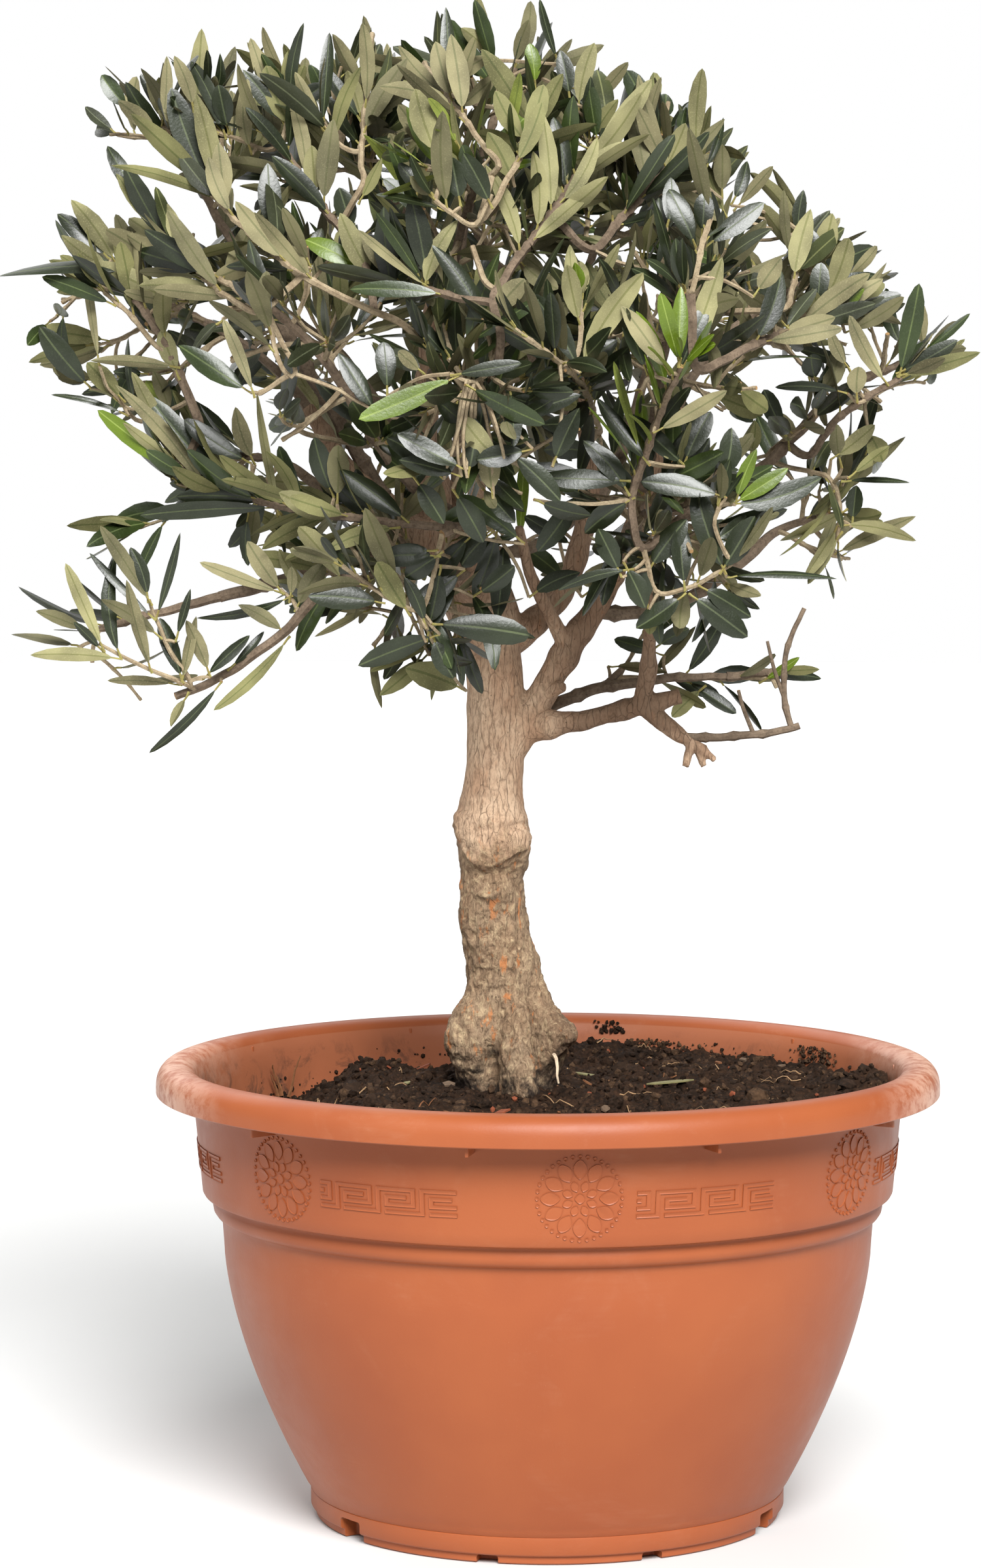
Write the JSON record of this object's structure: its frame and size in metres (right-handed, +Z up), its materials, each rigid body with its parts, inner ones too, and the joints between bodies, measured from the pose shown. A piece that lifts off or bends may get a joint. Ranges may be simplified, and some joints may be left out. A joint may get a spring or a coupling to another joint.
{
  "type": "potted olive tree",
  "caption": "Small olive tree with a knotty trunk and a round leafy crown, in a wide terracotta-coloured plastic bowl of soil that stands flat on a floor.",
  "frame": {"origin": "centre of the bowl's flat underside, on the surface that it stands on", "axes": "+Z up along the bowl's axis; +X to the right and +Y away from the viewer in the picture, so the front faces -Y"},
  "size_m": [0.4925, 0.4243, 0.7701],
  "materials": {
    "terracotta_plastic": "satin moulded plastic",
    "soil": "moist crumbly potting soil",
    "bark": "rough grey-beige bark",
    "bough_bark": "thin smooth bark",
    "foliage": "leathery leaves, glossy above and dull grey-green below"
  },
  "bodies": {
    "root": {"pot": "terracotta_plastic", "soil": "soil", "trunk": "bark", "right_bough": "bough_bark", "centre_bough": "bough_bark", "leader_bough": "bough_bark", "left_bough": "bough_bark", "back_bough": "bough_bark", "front_bough": "bough_bark", "right_low_bough": "bough_bark", "right_back_twig": "bough_bark", "right_shoot": "bough_bark", "broken_stub": "bough_bark", "bare_twig": "bough_bark", "bare_twig_tip": "bough_bark", "crown_top_bough": "bough_bark", "crown_upper_left_bough": "bough_bark", "crown_left_low_bough": "bough_bark", "hanging_left_bough": "bough_bark", "crown_far_right_bough": "bough_bark", "crown_right_low_bough": "bough_bark", "front_top_bough": "bough_bark", "front_left_bough": "bough_bark", "front_right_bough": "bough_bark", "front_low_left_bough": "bough_bark", "back_top_bough": "bough_bark", "back_left_bough": "bough_bark", "back_right_bough": "bough_bark", "back_low_left_bough": "bough_bark", "back_low_right_bough": "bough_bark", "crown_top": "foliage", "crown_top_left": "foliage", "crown_top_right": "foliage", "crown_upper_left": "foliage", "crown_left": "foliage", "crown_left_low": "foliage", "hanging_left": "foliage", "crown_right": "foliage", "crown_far_right": "foliage", "crown_right_low": "foliage", "front_top": "foliage", "front_left": "foliage", "front_middle": "foliage", "front_right": "foliage", "front_low_left": "foliage", "front_low_right": "foliage", "right_twig_leaves": "foliage", "back_top": "foliage", "back_left": "foliage", "back_middle": "foliage", "back_right": "foliage", "back_low_left": "foliage", "back_low_right": "foliage"}
  },
  "joints": []
}
